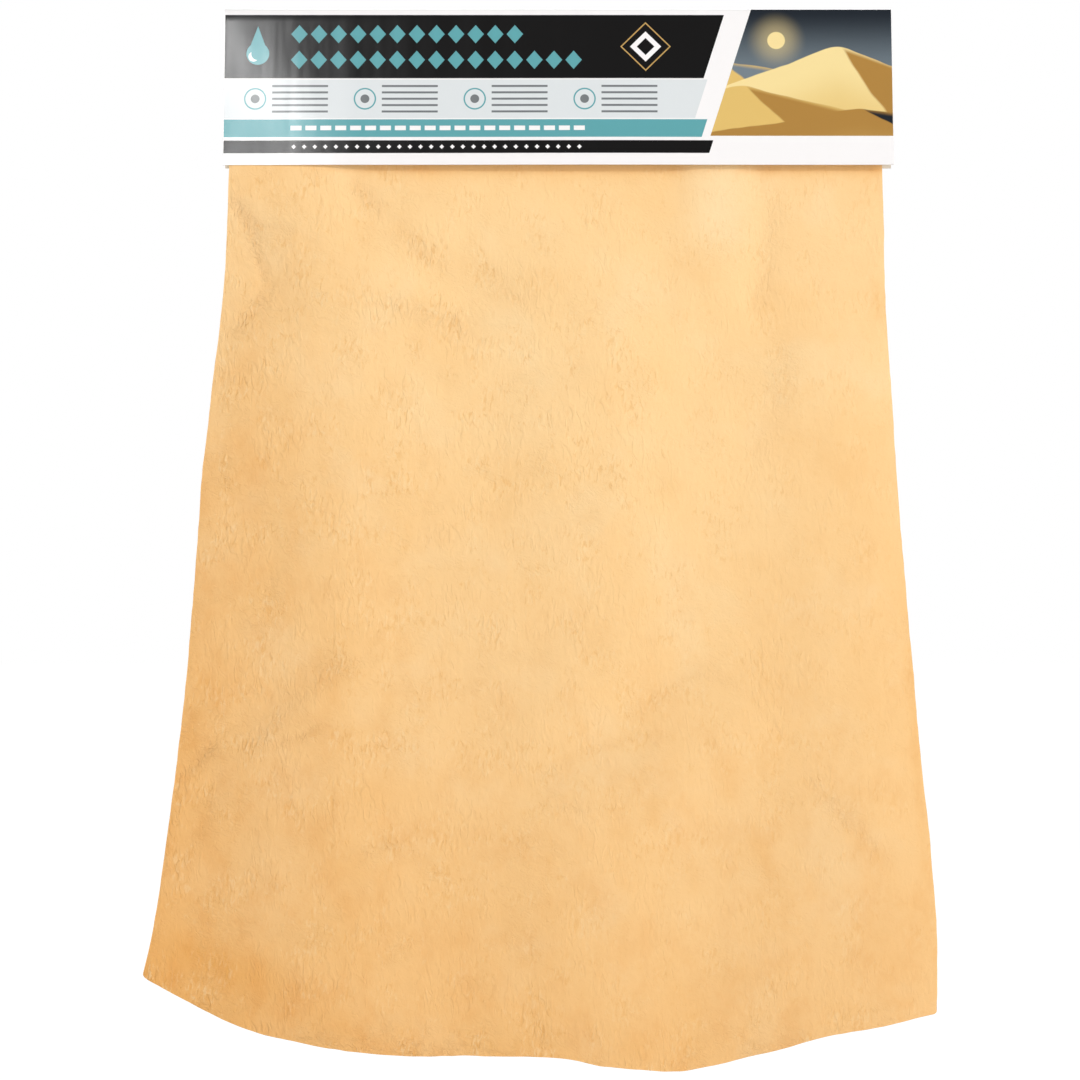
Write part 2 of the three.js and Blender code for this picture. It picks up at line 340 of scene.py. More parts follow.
@dataclass(frozen=True)
class ChamoisFinish:
    """Napped oil-tanned leather: softly clouded warm tan with a fine upright pebbling."""

    pale: Colour = srgb(254, 226, 178)
    tan: Colour = srgb(254, 213, 154)
    blush: Colour = srgb(248, 200, 136)
    deep_tan: Colour = srgb(230, 160, 73)
    smudge: Colour = srgb(226, 152, 74)
    crease_soil_and_shade: Colour = srgb(206, 132, 60)
    nap_depth: float = 1.2 * MM

    def material(self) -> bpy.types.Material:
        """Makes the leather's material.

        Returns:
            A material for a piece with the hide's map and its attributes of darker tone with painted shade,
            creases, paler patches with a painted highlight, and grain.
        """
        tree = FinishTree("chamois_nap")
        place = tree.rest_place(HIDE_MAP)
        creased = tree.attribute(HIDE_CREASE)
        wear = tree.attribute(HIDE_DARK_AND_SHADE)
        coarse = tree.attribute(HIDE_GRAIN)
        # Clouds of colour, from broad to fine.
        clouds = tree.noise(place, 6)
        drifts = tree.noise(place, 26, detail=3)
        blots = tree.noise(tree.rest_place(HIDE_MAP, (1, 0.7)), 58, detail=5, roughness=0.66)
        flecks = tree.noise(place, 190, detail=3, roughness=0.6)
        fuzz = tree.noise(place, 1900, detail=1)
        # The strokes of the nap, each kind with its own length and lean.
        upright = tree.noise(tree.rest_place(HIDE_MAP, (1, 0.36), lean=5), 400, 2.5, 0.55, 0.6)
        slanted = tree.noise(tree.rest_place(HIDE_MAP, (1, 0.7), lean=62), 430, 3, 0.6, 1.2)
        strokes = tree.noise(tree.rest_place(HIDE_MAP, (1, 0.34), lean=-4), 680, 1.5, 0.5, 0.7)
        winding = tree.noise(tree.rest_place(HIDE_MAP, (1, 0.45), lean=-20), 250, 1.5, 0.5, 0.6)
        # Where the nap stands up, is brushed over, is broken into nicks, or curls, and where painted glints
        # sit beside the nicks.
        patches = tree.noise(place, 34, detail=3, roughness=0.6)
        clusters = tree.noise(place, 46, detail=4, roughness=0.7).eased(0.44, 0.66)
        napped = (patches.eased(0.43, 0.64) * 0.66 + 0.05) * coarse + creased * 0.6
        brushed = patches.eased(0.56, 0.36) * 0.48 * coarse + creased * 0.4
        pebbles = upright.eased(0.38, 0.62) * napped + slanted.eased(0.38, 0.62) * brushed
        broken = clusters * coarse + creased * 0.35
        curls = (abs(winding - 0.5).eased(0.1, 0) - 0.4) * (clusters * coarse * 0.22 + creased * 0.7)
        nicks = strokes.eased(0.57, 0.67) * broken
        glint_ticks = strokes.eased(0.43, 0.32) * broken
        colour = tree.layers(self.tan, [
            (clouds.eased(0.4, 0.72) * 0.2, self.pale),
            (clouds.eased(0.5, 0.25) * 0.2, self.blush),
            (drifts.eased(0.5, 0.75) * 0.3, self.pale),
            (drifts.eased(0.48, 0.22) * 0.3, self.blush),
            # Darker towards the left side and the hem, with painted shade just below the card's lower edge.
            (wear, self.deep_tan),
            # Paler patches; the strongest is a painted highlight on the bulge just below the card.
            (tree.attribute(HIDE_PALE_AND_HIGHLIGHT), self.pale),
            (blots.eased(0.42, 0.78) * (wear * 0.56 + 0.02), self.smudge),
            (flecks.eased(0.62, 0.72) * wear * 0.25, self.smudge),
            # Creases painted darker: partly soil, partly painted shade in the crease.
            (creased * 0.12, self.crease_soil_and_shade),
            (flecks.eased(0.56, 0.8) * 0.2, self.blush),
            # Painted shade in the nicks and painted glints beside them, the dark and light sides of the fine
            # relief.
            (nicks * 0.22, self.deep_tan),
            (glint_ticks * 0.2, self.pale),
            (fuzz.eased(0.6, 0.8) * 0.12, self.deep_tan),
        ])
        tree.bump(pebbles * 0.17 + fuzz * 0.03 + flecks * 0.2 + curls * 0.23 - nicks * 0.07, self.nap_depth)
        return tree.shade(
            Base_Color=colour,
            Roughness=flecks * 0.16 + 0.78,
            Specular_IOR_Level=0.12,
            Sheen_Weight=0.12,
            Sheen_Roughness=0.6,
            Sheen_Tint=self.pale,
        )


@dataclass(frozen=True)
class BoardFinish:
    """Bare folding board: faint fibre clouds and specks."""

    name: str
    base: Colour
    fibre: Colour
    roughness: float = 0.5
    fibre_depth: float = 0.03 * MM

    def material(self) -> bpy.types.Material:
        """Makes the board's material.

        Returns:
            A material for a piece with the card's map in millimetres.
        """
        tree = FinishTree(self.name)
        fibres = tree.noise(tree.rest_place(CARD_MAP, (0.3 * MM, MM)), 900, detail=3)
        clouds = tree.noise(tree.rest_place(CARD_MAP, (MM, MM)), 30, detail=3)
        colour = tree.layers(self.base, [
            (clouds.eased(0.35, 0.75) * 0.35, self.fibre),
            (fibres.eased(0.58, 0.8) * 0.5, self.fibre),
        ])
        tree.bump(fibres, self.fibre_depth)
        return tree.shade(
            Base_Color=colour,
            Roughness=clouds * 0.12 + self.roughness,
            Specular_IOR_Level=0.3,
        )


@dataclass(frozen=True)
class PrintFinish:
    """The laminated print of the front panel: bands and plain shapes on white board.

    Lengths are in millimetres from the panel's left and lower edges.
    """

    white: Colour = srgb(248, 245, 244)
    black: Colour = srgb(17, 16, 16)
    teal: Colour = srgb(98, 166, 172)
    grey: Colour = srgb(223, 227, 228)
    rule: Colour = srgb(120, 124, 126)
    gold: Colour = srgb(196, 160, 96)
    night: Colour = srgb(30, 36, 44)
    steel: Colour = srgb(118, 130, 138)
    tan: Colour = srgb(226, 190, 112)
    straw: Colour = srgb(246, 222, 158)
    umber: Colour = srgb(176, 132, 66)
    slant_slope: float = 0.32
    top: float = 75.9
    marks_start: float = 31.0
    ripple_depth: float = 0.05 * MM

    def material(self) -> bpy.types.Material:
        """Makes the print's material.

        Returns:
            A material for a piece with the card's map in millimetres.
        """
        tree = FinishTree("card_print")
        place = tree.rest_place(CARD_MAP)
        x, z = (tree.field("ShaderNodeSeparateXYZ", axis, {"Vector": place}) for axis in "XY")
        slant = x - z * self.slant_slope
        colour = tree.layers(self.white, [
            *self.bands(x, z, slant),
            *self.lozenges(x, z),
            *self.emblems(x, z),
            *self.notes(x, z),
            *self.picture(tree, x, z, slant),
        ])
        ripples = tree.noise(tree.rest_place(CARD_MAP, (MM, 0.12 * MM)), 90)
        tree.bump(ripples, self.ripple_depth)
        return tree.shade(
            Base_Color=tree.mix(z.within(0.25, self.top), self.white, colour),
            Roughness=ripples * 0.1 + 0.1,
            Specular_IOR_Level=0.08,
        )

    def bands(self, x: Field, z: Field, slant: Field) -> Coats:
        """The dark title band, the pale note band and the two stripes below it.

        Args:
            x: How far right of the panel's left edge.
            z: How far above its lower edge.
            slant: How far right, on lines that lean as the bands' ends do.

        Returns:
            A coat of colour for each band.
        """
        # Where a band ends on the right, its lower and upper edges, and its tone.
        bands = (
            (214, 42, 73, self.black),
            (216, 22.6, 41.4, self.grey),
            (222, 13.4, 22, self.teal),
            (228, 5.6, 11.8, self.black),
        )
        left = x.above(0.3)
        return [(left & slant.below(end) & z.within(low, high), tone) for end, low, high, tone in bands]

    def lozenges(self, x: Field, z: Field) -> Coats:
        """Two rows of lozenges on the title band, and the marks in the stripes.

        Args:
            x: How far right of the panel's left edge.
            z: How far above its lower edge.

        Returns:
            A coat of colour for each row.
        """
        start = self.marks_start
        aside = abs(x.every(9.3, start)) * 1.15
        dashes = abs(x.every(7.05, start)).below(2.6) & z.within(16.7, 18.9)
        dots = (abs(x.every(5, start)) + abs(z - 8.7)).below(1.1)
        return [
            ((aside + abs(z - 63.6)).below(4.5) & x.within(start, 142.6), self.teal),
            ((aside + abs(z - 51)).below(4.5) & x.within(start, 170.5), self.teal),
            (dashes & x.within(start, 172), self.white),
            (dots & x.within(start, 171), self.white),
        ]

    def emblems(self, x: Field, z: Field) -> Coats:
        """A water drop at the left of the title band, and a framed lozenge at its right.

        Args:
            x: How far right of the panel's left edge.
            z: How far above its lower edge.

        Returns:
            The coats of colour of the drop and the lozenge.
        """
        bowl = distance(x - 16, z - 54)
        tip = (abs(x - 16) - (z - 67.5) * -0.37).below(0) & z.above(56.1)
        gleam = distance(x - 14, z - 52.6)
        lozenge = abs(x - 200) + abs(z - 57.5)
        return [
            (bowl.below(5.4) | tip, self.teal),
            (gleam.below(2.4) & bowl.above(3.1), self.white),
            (lozenge.within(11.2, 12), self.gold),
            (lozenge.within(4.2, 7.4), self.white),
        ]

    def notes(self, x: Field, z: Field) -> Coats:
        """Four plain notes on the pale band: a ring beside a block of rules.

        Args:
            x: How far right of the panel's left edge.
            z: How far above its lower edge.

        Returns:
            The coats of colour of the rings, their middles and the rules.
        """
        unit = x.every(52, 6)
        away = distance(unit + 17, z - 32)
        span = x.within(6, 214)
        rules = abs((z - 32).every(3.1, -7.75)).below(0.5) & z.within(24.3, 39.7)
        return [
            (away.within(4.6, 5.3) & span, self.teal),
            (away.below(2.1) & span, self.rule),
            (rules & unit.within(-9, 17.5) & span, self.rule),
        ]

    def picture(self, tree: FinishTree, x: Field, z: Field, slant: Field) -> Coats:
        """The picture panel: tan dunes under a dusky sky with a low pale disc.

        Args:
            tree: The print's node tree.
            x: How far right of the panel's left edge.
            z: How far above its lower edge.
            slant: How far right, on lines that lean as the bands' ends do.

        Returns:
            The panel's coats of colour, from the sky forwards.
        """
        panel = slant.above(226) & z.within(14, self.top) & x.below(316.8)
        drift = tree.noise(tree.rest_place(CARD_MAP, (MM, MM)), 40) - 0.5
        disc = distance(x - 262, z - 60.5)
        coats = [
            (panel, self.night),
            (panel & z.eased(76, 42) * 0.9, self.steel),
            (panel & disc.eased(15, 3) * 0.35, self.straw),
            (panel & disc.below(4.2, soft=0.3), self.straw),
        ]
        # A dune's peak, the slope of its sides, how far its ridge leans, and its lit and shaded tones.
        dunes = (
            ((236, 50), 0.16, 1.2, self.tan, self.steel),
            ((291, 57), 0.38, 0.9, self.straw, self.umber),
            ((246, 38), 0.26, 1.6, self.tan, self.umber),
            ((302, 27), 0.17, 2.6, self.umber, self.night),
        )
        rounding = 3
        for (peak_x, peak_z), slope, lean, lit, shaded in dunes:
            aside = x - peak_x
            rounded = tree.math("SQRT", aside * aside + rounding**2)
            crest = rounded * -slope + (peak_z + rounding * slope)
            depth = crest - z
            body = panel & (z - crest + drift * 2.5).below(0, soft=0.4)
            ridge = aside - depth * lean + drift * 9
            coats += [
                (body, lit),
                (body & depth.eased(6, 30) * 0.6, self.tan),
                (body & ridge.above(1, soft=1.6) * depth.eased(-1, 2), shaded),
            ]
        return coats


@dataclass(frozen=True)
class WireFinish:
    """Galvanised steel wire with a fine dull grain."""

    steel: Colour = srgb(196, 199, 203)
    dull: Colour = srgb(150, 153, 157)
    grain_depth: float = 0.02 * MM

    def material(self) -> bpy.types.Material:
        """Makes the wire's material.

        Returns:
            A material on Object coordinates.
        """
        tree = FinishTree("staple_steel")
        place = tree.field("ShaderNodeTexCoord", "Object", {})
        grain = tree.noise(place, 1800, dimensions="3D")
        tree.bump(grain, self.grain_depth)
        return tree.shade(
            Base_Color=tree.mix(grain.eased(0.4, 0.7), self.steel, self.dull),
            Metallic=1.0,
            Roughness=grain * 0.25 + 0.25,
        )


def activate(piece: bpy.types.Object) -> None:
    """Selects one piece alone and makes it the active one.

    Args:
        piece: The piece that the next operators act on.
    """
    bpy.ops.object.select_all(action="DESELECT")
    piece.select_set(True)
    bpy.context.view_layer.objects.active = piece


@contextmanager
def editing(piece: bpy.types.Object) -> Iterator[None]:
    """Edit mode on one piece alone, with none of its edges selected.

    Args:
        piece: The piece to edit.

    Yields:
        Nothing, while edit mode lasts.
    """
    activate(piece)
    bpy.ops.object.mode_set(mode="EDIT")
    bpy.ops.mesh.select_mode(type="EDGE")
    bpy.ops.mesh.select_all(action="DESELECT")
    yield
    bpy.ops.object.mode_set(mode="OBJECT")


def select_edges(piece: bpy.types.Object, test: Callable[[Vector], bool]) -> None:
    """Selects edges by the places of their ends, in edit mode.

    Args:
        piece: The piece in edit mode.
        test: Whether a place is chosen; an edge is, where both its ends are.
    """
    bm = bmesh.from_edit_mesh(piece.data)
    for edge in bm.edges:
        edge.select_set(all(test(vertex.co) for vertex in edge.verts))
    bm.select_flush_mode()
    bmesh.update_edit_mesh(piece.data)


def extrude_edges(step: Sequence[float]) -> None:
    """Extrudes the selected edges by a step."""
    bpy.ops.mesh.extrude_edges_move(TRANSFORM_OT_translate={"value": step})


def spin_edges(steps: int, angle: float, centre: Vector, axis: Vector) -> None:
    """Turns the selected edges about an axis, drawing faces behind them, by the right-hand rule.

    Args:
        steps: How many rows of faces are drawn.
        angle: How far the edges turn, in radians.
        centre: A point on the axis.
        axis: The axis; the operator counts its angle the other way round it.
    """
    bpy.ops.mesh.spin(steps=steps, angle=angle, center=centre, axis=-axis)


def merge_doubles() -> None:
    """Merges the doubled vertices of the piece in edit mode, and turns its faces outwards."""
    bpy.ops.mesh.select_all(action="SELECT")
    bpy.ops.mesh.remove_doubles(threshold=MERGE_DISTANCE)
    bpy.ops.mesh.normals_make_consistent(inside=False)


def apply_modifier(piece: bpy.types.Object, kind: str, **settings: object) -> None:
    """Adds a modifier and applies it at once.

    Args:
        piece: The piece to modify.
        kind: The modifier's type.
        settings: The modifier's settings.
    """
    activate(piece)
    modifier = piece.modifiers.new(kind.title(), kind)
    for name, value in settings.items():
        setattr(modifier, name, value)
    bpy.ops.object.modifier_apply(modifier=modifier.name)


def shade_smooth(piece: bpy.types.Object, degrees: float) -> None:
    """Shades a piece smooth over edges that bend less than an angle."""
    activate(piece)
    bpy.ops.object.shade_smooth_by_angle(angle=math.radians(degrees))


def places_of(piece: bpy.types.Object) -> Array:
    """Where a piece's vertices are.

    Args:
        piece: The piece.

    Returns:
        One row of three coordinates a vertex.
    """
    places = np.zeros(len(piece.data.vertices) * 3)
    piece.data.vertices.foreach_get("co", places)
    return places.reshape(-1, 3)


def write_map(piece: bpy.types.Object, name: str, per_vertex: Array) -> None:
    """Gives a piece a map.

    Args:
        piece: The piece.
        name: The map's name.
        per_vertex: Two numbers for each of its vertices.
    """
    corners = np.zeros(len(piece.data.loops), dtype=np.int32)
    piece.data.loops.foreach_get("vertex_index", corners)
    layer = piece.data.uv_layers.new(name=name)
    layer.data.foreach_set("uv", per_vertex[corners].astype(np.float32).ravel())


def joint_place(name: str) -> Vector:
    """Where a joint's axis passes through the middle of the card."""
    return Vector(next(joint["pos_m"] for joint in frame["joints"] if joint["name"] == name))


@dataclass
class HeaderCard:
    """The header card: one printed board, folded over its top edge."""

    spread_deg: float = 7.0
    columns: int = 64
    panel_rows: int = 14
    fold_steps: int = 14
    corner_curl: float = 0.9 * MM
    corner_reach: float = 60 * MM
    middle_bow: float = 0.7 * MM
    bow_x: float = 20 * MM
    bow_reach: float = 90 * MM
    smooth_deg: float = 35.0

    def __post_init__(self) -> None:
        """Takes the board's sizes and the fold's place from the frame."""
        low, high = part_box("header_back_panel")
        self.width = high.x - low.x
        self.board = high.y - low.y
        self.bottom = low.z
        self.axis = joint_place("flap")
        self.radius = -self.axis.y - self.board / 2
        self.slope = math.radians(self.spread_deg)
        self.panel_length = (self.axis.z - self.bottom) / math.cos(self.slope)
        self.fold_length = self.radius * (math.pi - self.slope)
        self.down = Vector((0, -math.sin(self.slope), -math.cos(self.slope)))

    def build(self) -> bpy.types.Object:
        """Models, maps and dresses the card.

        Returns:
            The card, which stands for the three CAD nodes of the board.
        """
        card = self.folded_board()
        write_map(card, CARD_MAP, self.developed(places_of(card)))
        self.relax(card)
        inside = BoardFinish("card_inside", base=srgb(235, 228, 214), fibre=srgb(222, 212, 195))
        core = BoardFinish("card_core", base=srgb(232, 226, 216), fibre=srgb(214, 205, 190), roughness=0.8)
        # The print is outside, the bare board inside, and the core shows on the cut edges.
        for finish in (PrintFinish(), inside, core):
            card.data.materials.append(finish.material())
        apply_modifier(card, "SOLIDIFY", thickness=self.board, offset=0.0, use_even_offset=True,
                       material_offset=1, material_offset_rim=2)
        shade_smooth(card, self.smooth_deg)
        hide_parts("header_back_panel", "header_fold", "header_front_panel")
        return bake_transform(card)

    def folded_board(self) -> bpy.types.Object:
        """Models the board's middle surface: back panel, rolled fold and sloping front panel.

        Returns:
            The surface, with its faces outwards.
        """
        height = self.axis.z - self.bottom
        bpy.ops.object.select_all(action="DESELECT")
        bpy.ops.mesh.primitive_grid_add(
            x_subdivisions=self.columns, y_subdivisions=self.panel_rows, size=1,
            location=(0, -self.board / 2, self.bottom + height / 2), rotation=(math.pi / 2, 0, 0),
        )
        card = bpy.context.object
        card.name = "header_card"
        card.scale = (self.width, height, 1)
        bpy.ops.object.transform_apply(location=True, rotation=True, scale=True)
        with editing(card):
            select_edges(card, lambda place: place.z > self.axis.z - MERGE_DISTANCE)
            spin_edges(self.fold_steps, math.pi - self.slope, self.axis, Vector((1, 0, 0)))
            for _ in range(self.panel_rows):
                extrude_edges(self.down * (self.panel_length / self.panel_rows))
            merge_doubles()
        return card

    def developed(self, places: Array) -> Array:
        """Lays the folded board out flat.

        Args:
            places: Places on the board's middle surface.

        Returns:
            Millimetres from the left edge, and along the board from the front panel's lower edge.
        """
        from_axis = places - np.array(self.axis)
        angle = np.arctan2(from_axis[:, 2], from_axis[:, 1])
        down_front = from_axis @ np.array(self.down)
        on_fold = self.panel_length + self.radius * (math.pi - self.slope - angle)
        on_back = self.panel_length + self.fold_length - from_axis[:, 2]
        is_back = (places[:, 1] > self.axis.y) & (from_axis[:, 2] <= 0)
        is_front = down_front >= -MERGE_DISTANCE * MM
        along = np.where(is_back, on_back, np.where(is_front, self.panel_length - down_front, on_fold))
        return np.stack([places[:, 0] + self.width / 2, along], axis=1) / MM

    def relax(self, card: bpy.types.Object) -> None:
        """Curls the flap's lower left corner back to the hide and bows its lower edge out.

        Args:
            card: The board's middle surface.
        """
        lower = self.axis + self.down * self.panel_length
        curl = (-self.width / 2, self.corner_curl, self.corner_reach)
        bow = (self.bow_x, -self.middle_bow, self.bow_reach)
        for x, pull, reach in (curl, bow):
            with editing(card):
                bpy.ops.mesh.select_mode(type="VERT")
                bm = bmesh.from_edit_mesh(card.data)
                target = Vector((x, lower.y, lower.z))
                nearest = min(bm.verts, key=lambda vertex: (vertex.co - target).length)
                nearest.select_set(True)
                bmesh.update_edit_mesh(card.data)
                bpy.ops.transform.translate(
                    value=(0, pull, 0), use_proportional_edit=True, use_proportional_connected=True,
                    proportional_edit_falloff="SMOOTH", proportional_size=reach,
                )


class Grain:
    """Smooth seeded noise from -1 to 1 over a plane."""

    lattice: int = 128

    def __init__(self, seed: int) -> None:
        """Draws the values at the crossings of a square lattice."""
        self.values = np.random.default_rng(seed).uniform(-1, 1, (self.lattice, self.lattice))

    def crossing(self, column: Array, row: Array) -> Array:
        """The values at crossings of the lattice, which repeats without end."""
        return self.values[row % self.lattice, column % self.lattice]

    def at(self, x: Array, y: Array) -> Array:
        """The noise at places given in lattice steps.

        Args:
            x: Steps along the lattice's rows.
            y: Steps along its columns.

        Returns:
            The noise at each place.
        """
        column, row = np.floor(x).astype(int), np.floor(y).astype(int)
        right, up = smooth_step(x - column), smooth_step(y - row)
        near = self.crossing(column, row) * (1 - right) + self.crossing(column + 1, row) * right
        far = self.crossing(column, row + 1) * (1 - right) + self.crossing(column + 1, row + 1) * right
        return near * (1 - up) + far * up


def smooth_step(share: Array) -> Array:
    """Eases a share from 0 to 1 at both of its ends."""
    return share * share * (3 - 2 * share)


def eased(value: Array, low: float, high: float) -> Array:
    """Eases from 0 at one value to 1 at another."""
    return smooth_step(np.clip((value - low) / (high - low), 0, 1))


def spline(points: Sequence[Point], shares: Array) -> Array:
    """A smooth line through points.

    Args:
        points: The points in order.
        shares: Places along the line, from 0 to 1.

    Returns:
        One place a share.
    """
    knots = np.array(points, float)
    knots = np.concatenate([knots[:1], knots, knots[-1:]])
    along = shares * (len(points) - 1)
    start = np.clip(np.floor(along).astype(int), 0, len(points) - 2)
    t = (along - start)[..., None]
    before, first, second, after = (knots[start + i] for i in range(4))
    leaving, arriving = (second - before) / 2, (after - first) / 2
    cubic = 2 * first - 2 * second + leaving + arriving
    square = -3 * first + 3 * second - 2 * leaving - arriving
    return ((cubic * t + square) * t + leaving) * t + first


@dataclass(frozen=True)
class SoftFold:
    """A soft fold that runs out at both ends; places are millimetres (x, drop below the card).

    As a stain or a bloom, its height is how strong the colour is.
    """

    start: Point
    end: Point
    width: float
    height: float

    def lift(self, x: Array, drop: Array) -> Array:
        """How high the fold stands.

        Args:
            x: Millimetres right of the card's middle.
            drop: Millimetres below the card.

        Returns:
            The fold's height at each place, in its own measure.
        """
        run = np.array(self.end) - np.array(self.start)
        length = float(np.hypot(*run))
        right, down = x - self.start[0], drop - self.start[1]
        along = (right * run[0] + down * run[1]) / length**2
        across = (right * run[1] - down * run[0]) / length
        return self.height * np.exp(-((2 * along - 1) ** 4)) * np.exp(-((across / self.width) ** 2))


def lifted(folds: Sequence[SoftFold], x: Array, drop: Array) -> Array:
    """The heights of several soft folds together."""
    return sum(fold.lift(x, drop) for fold in folds)


def chain(points: Sequence[Point], width: float, height: float) -> list[SoftFold]:
    """Soft folds from point to point along a bent line."""
    return [SoftFold(start, end, width, height) for start, end in zip(points, points[1:])]


# The sides, as shares of how far they flare and of the way down, and the hem, as shares across and down.
LEFT_EDGE_SHARES = [
    (0, 0), (0.09, 0.143), (0.223, 0.25), (0.344, 0.366), (0.524, 0.588), (0.822, 0.811), (1, 0.896),
]
RIGHT_EDGE_SHARES = [
    (0, 0), (0.065, 0.143), (0.172, 0.25), (0.298, 0.366), (0.611, 0.588), (0.966, 0.811), (1, 0.936),
]
HEM_SHARES = [
    (0.111, 0.946), (0.199, 0.967), (0.3, 0.98), (0.413, 0.983), (0.52, 0.984), (0.583, 0.993),
    (0.662, 1), (0.702, 0.997), (0.784, 0.979), (0.865, 0.96), (0.928, 0.95),
]
# Broad folds, which fade out towards the card, and swells at the card's mouth.
BROAD_FOLDS = [
    SoftFold((77, -5), (75, 80), 24, 2.5),
    SoftFold((102, 4), (93, 70), 9, -1.2),
    SoftFold((-150, 14), (-128, 70), 15, -2.2),
    SoftFold((-100, 8), (-24, 66), 18, -2),
    SoftFold((-164, 278), (-108, 221), 11, -0.6),
    SoftFold((-152, 286), (-96, 229), 11, 0.6),
    SoftFold((-16, 294), (70, 232), 17, -2.2),
    SoftFold((30, 300), (104, 262), 18, 2),
]
MOUTH_SWELLS = [SoftFold((-172, 0), (-100, 0), 30, 3.2), SoftFold((60, 0), (92, 0), 26, 1.4)]
# Narrow creases that have broken the nap.
CREASES = [
    *chain([(-155, 12), (-143, 31)], 4, -0.85),
    *chain([(-145, 31), (-138, 55)], 2.4, -0.62),
    *chain([(-134, 54), (-157, 80)], 5.4, -0.5),
    *chain([(-143, 27), (-133, 26.4), (-123, 30), (-115, 35.2)], 1.8, -0.32),
    *chain([(-99, 4), (-82, 22)], 5, -0.6),
    *chain([(-78, 26), (-54, 49)], 5.5, -0.45),
    *chain([(-89, 60), (-37, 77)], 6.5, -0.4),
    *chain([(-41, 40), (-14, 67)], 5, -0.25),
    *chain([(103, 10), (99, 42), (93, 68)], 5.4, -0.32),
    *chain([(107, 76), (103, 120), (91, 137)], 7, -0.25),
    *chain([(-152, 279), (-127, 253), (-104, 229)], 5.2, -0.4),
    *chain([(-117, 248), (-95, 234), (-84, 217)], 2.4, -0.3),
    *chain([(-134, 273), (-112, 264.5)], 2.2, -0.65),
    *chain([(-181, 290.5), (-161, 271)], 2.6, -0.9),
    *chain([(-163.5, 287), (-166, 306), (-178, 328)], 2, -0.4),
    *chain([(-99, 325.5), (-73, 317.5)], 2.2, -0.46),
    *chain([(-134, 190), (-140, 208)], 2, -0.3),
    *chain([(-12, 290), (10, 276.4), (35, 269), (56, 267.8)], 2.4, -0.28),
    *chain([(36.5, 256), (68, 237)], 2.4, -0.31),
    *chain([(68, 238), (88, 247), (116, 278)], 3.2, -0.22),
    *chain([(114, 284), (157, 328)], 5, -0.36),
    *chain([(-4, 301.5), (18, 301)], 1.8, -0.36),
    *chain([(-83, 402), (-81, 416)], 1.8, -0.5),
    *chain([(-9, 405), (-7, 417)], 1.8, -0.5),
]
# Darker patches and lines: partly stains, partly painted shade along folds, creases and the curled right
# edge.
STAINS_AND_SHADE = [
    SoftFold((-165, 138), (-125, 142), 15, 0.09),
    SoftFold((-172, 250), (-175, 280), 3.5, 0.09),
    SoftFold((-110, 297), (-62, 296), 11, 0.06),
    SoftFold((-116, 298), (-100, 340), 10, 0.09),
    SoftFold((46, 222), (56, 332), 20, 0.06),
    SoftFold((-190, 366), (-122, 390), 10, 0.17),
    SoftFold((-122, 396), (-92, 411), 7, 0.09),
    SoftFold((150, 348), (164, 392), 12, 0.09),
    SoftFold((50, 402), (110, 366), 14, 0.09),
    SoftFold((30, 412), (46, 416), 7, 0.1),
    SoftFold((78, 276), (82, 301), 6.5, 0.13),
    SoftFold((45, 294), (45.5, 312), 4, 0.15),
    SoftFold((91, 313), (103, 335), 4.6, 0.13),
    SoftFold((64, 327), (65, 343), 4, 0.09),
    SoftFold((8, 340), (24, 342), 7, 0.07),
    SoftFold((132, 306), (158, 333), 6, 0.07),
    SoftFold((164.5, 200), (174, 332), 2.4, 0.13),
    SoftFold((150.5, 52), (152, 72), 3, 0.12),
]
# Paler patches; the first and strongest is a painted highlight on the bulge just below the card.
PALE_PATCHES_AND_HIGHLIGHT = [
    SoftFold((76, -16), (76, 36), 16, 0.62),
    SoftFold((-140, 312), (-140, 366), 21, 0.13),
    SoftFold((-94, 243), (-94, 263), 8, 0.12),
    SoftFold((-137, 221), (-116, 231), 9, 0.12),
    SoftFold((-72, 248), (-58, 284), 15, 0.11),
    SoftFold((-22, 164), (8, 186), 20, 0.17),
]


